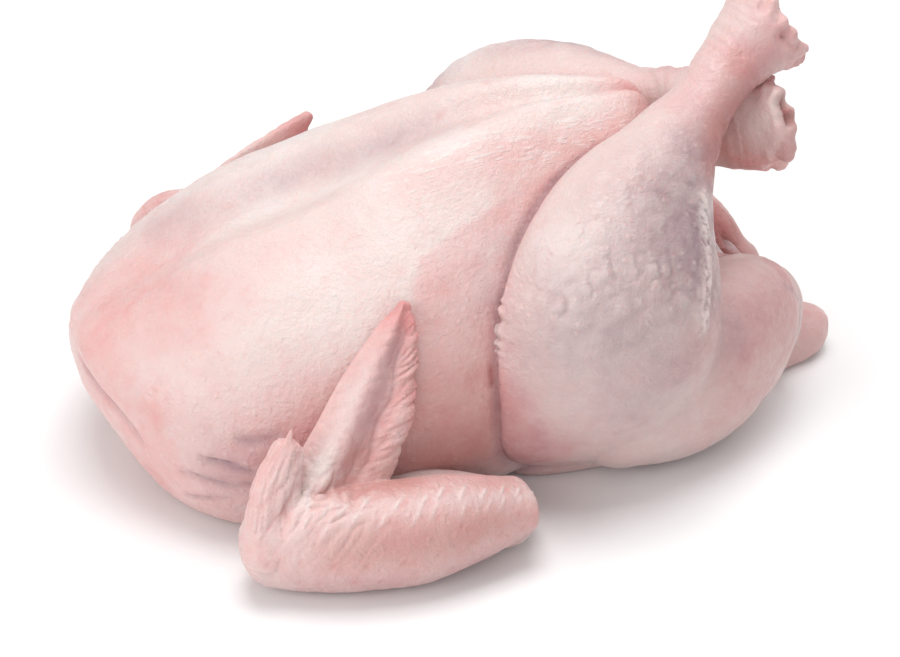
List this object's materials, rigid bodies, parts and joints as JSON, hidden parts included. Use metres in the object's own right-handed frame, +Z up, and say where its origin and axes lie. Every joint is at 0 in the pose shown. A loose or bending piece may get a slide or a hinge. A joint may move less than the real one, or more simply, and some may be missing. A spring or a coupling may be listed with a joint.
{
  "type": "whole raw chicken",
  "caption": "Whole raw plucked chicken on its back, pale pink skin, wings folded under and shanks crossed over the vent.",
  "frame": {"origin": "middle of the bird's box, on the surface it lies on", "axes": "+Z up, +X towards the tail, -X towards the neck end, -Y the side whose shank lies on top"},
  "size_m": [0.273, 0.228, 0.1477],
  "materials": {
    "chicken": "moist pale pink plucked skin with fine follicle bumps"
  },
  "bodies": {
    "root": {"chicken": "chicken"}
  },
  "joints": []
}
